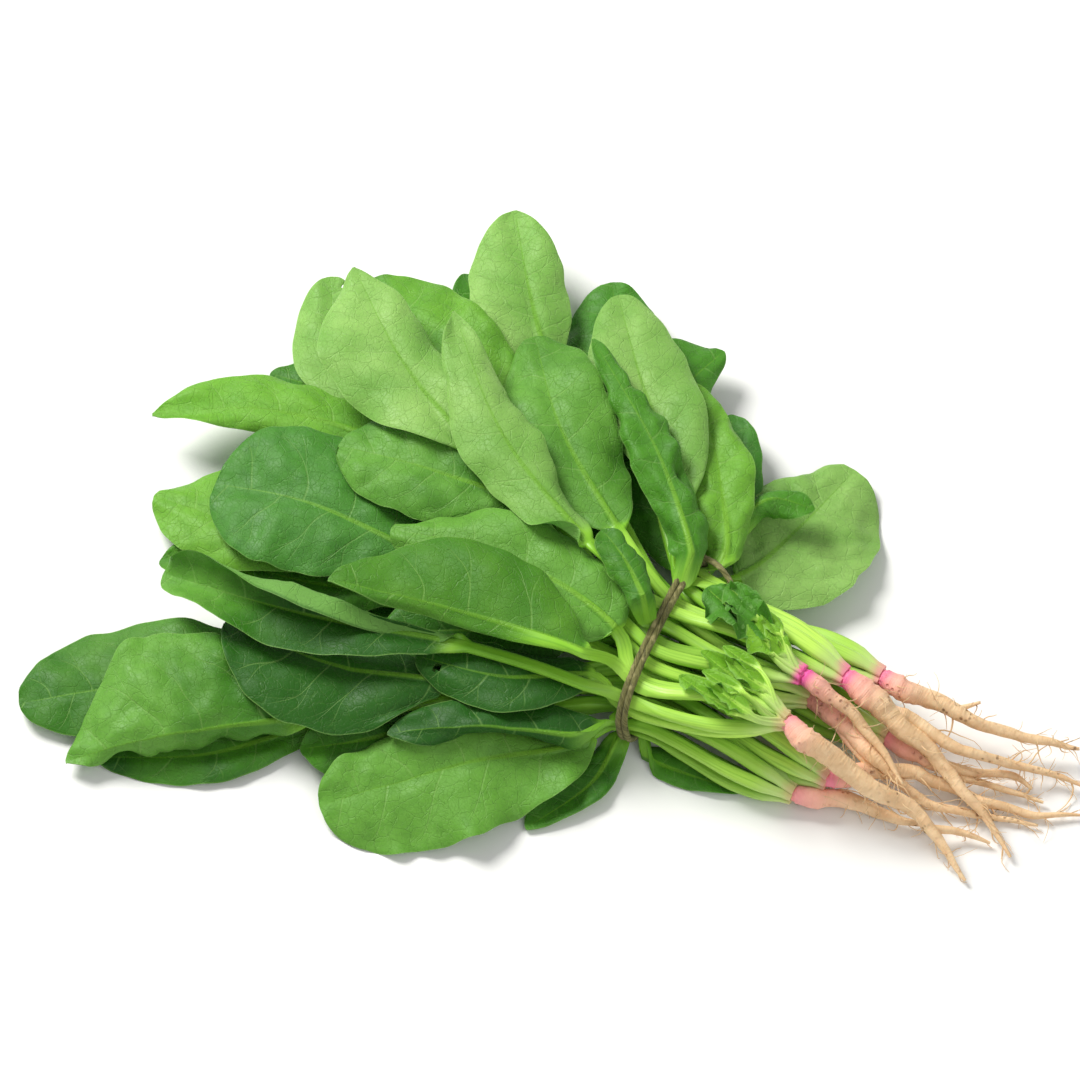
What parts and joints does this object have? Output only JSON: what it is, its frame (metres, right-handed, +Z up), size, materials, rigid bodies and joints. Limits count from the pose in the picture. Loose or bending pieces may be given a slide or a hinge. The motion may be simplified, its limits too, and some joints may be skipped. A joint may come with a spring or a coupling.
{
  "type": "spinach bunch",
  "caption": "Bunch of whole spinach plants lying down: long-stalked green leaves fanned out from a fibre tie, with pink crowns and tan taproots at the other end.",
  "frame": {"origin": "middle of the bunch's bounding box, on the surface it lies on", "axes": "+X towards the roots and along the bunch's longest side, +Y across it, +Z up from the surface"},
  "size_m": [0.3768, 0.2696, 0.0482],
  "materials": {
    "leaf_pale": "matte light green leaf, soft sheen",
    "leaf_fresh": "satin yellow-green leaf",
    "leaf_mid": "satin mid green leaf",
    "leaf_deep": "satin dark green leaf, bluish sheen",
    "root_skin": "matte tan root skin, pink at the crown",
    "tie_fibre": "dry brown plant fibre"
  },
  "bodies": {
    "root": {"tie_band": "tie_fibre", "plant_1_root": "root_skin", "plant_2_root": "root_skin", "plant_3_root": "root_skin", "plant_4_root": "root_skin", "plant_5_root": "root_skin", "plant_6_root": "root_skin", "plant_7_root": "root_skin", "plant_8_root": "root_skin", "plant_5_leaf_1": "leaf_deep", "plant_6_leaf_1": "leaf_deep", "plant_7_leaf_1": "leaf_deep", "plant_7_leaf_2": "leaf_deep", "plant_8_leaf_1": "leaf_deep", "plant_8_leaf_2": "leaf_deep", "plant_8_leaf_3": "leaf_deep", "plant_5_leaf_2": "leaf_deep", "plant_5_leaf_3": "leaf_deep", "plant_5_leaf_4": "leaf_deep", "plant_6_leaf_2": "leaf_mid", "plant_8_leaf_4": "leaf_pale", "plant_7_leaf_3": "leaf_deep", "plant_8_leaf_5": "leaf_deep", "plant_4_leaf_1": "leaf_deep", "plant_8_leaf_6": "leaf_deep", "plant_4_leaf_2": "leaf_deep", "plant_2_leaf_1": "leaf_pale", "plant_7_leaf_4": "leaf_fresh", "plant_6_leaf_3": "leaf_deep", "plant_7_leaf_5": "leaf_fresh", "plant_6_leaf_4": "leaf_deep", "plant_7_leaf_6": "leaf_deep", "plant_5_leaf_5": "leaf_mid", "plant_6_leaf_5": "leaf_mid", "plant_2_leaf_2": "leaf_fresh", "plant_2_leaf_3": "leaf_deep", "plant_3_leaf_1": "leaf_pale", "plant_2_leaf_4": "leaf_fresh", "plant_5_leaf_6": "leaf_deep", "plant_6_leaf_6": "leaf_mid", "plant_4_leaf_3": "leaf_deep", "plant_4_leaf_4": "leaf_fresh", "plant_4_leaf_5": "leaf_pale", "plant_3_leaf_2": "leaf_mid", "plant_1_leaf_1": "leaf_mid", "plant_2_leaf_5": "leaf_mid", "plant_2_leaf_6": "leaf_pale", "plant_1_leaf_2": "leaf_mid", "plant_4_leaf_6": "leaf_deep", "plant_1_leaf_3": "leaf_mid", "plant_3_leaf_3": "leaf_pale", "plant_3_leaf_4": "leaf_fresh", "plant_1_leaf_4": "leaf_fresh", "plant_3_leaf_5": "leaf_deep", "plant_3_leaf_6": "leaf_fresh", "plant_1_leaf_5": "leaf_fresh", "plant_1_leaf_6": "leaf_fresh", "tie_knot": "tie_fibre"}
  },
  "joints": []
}
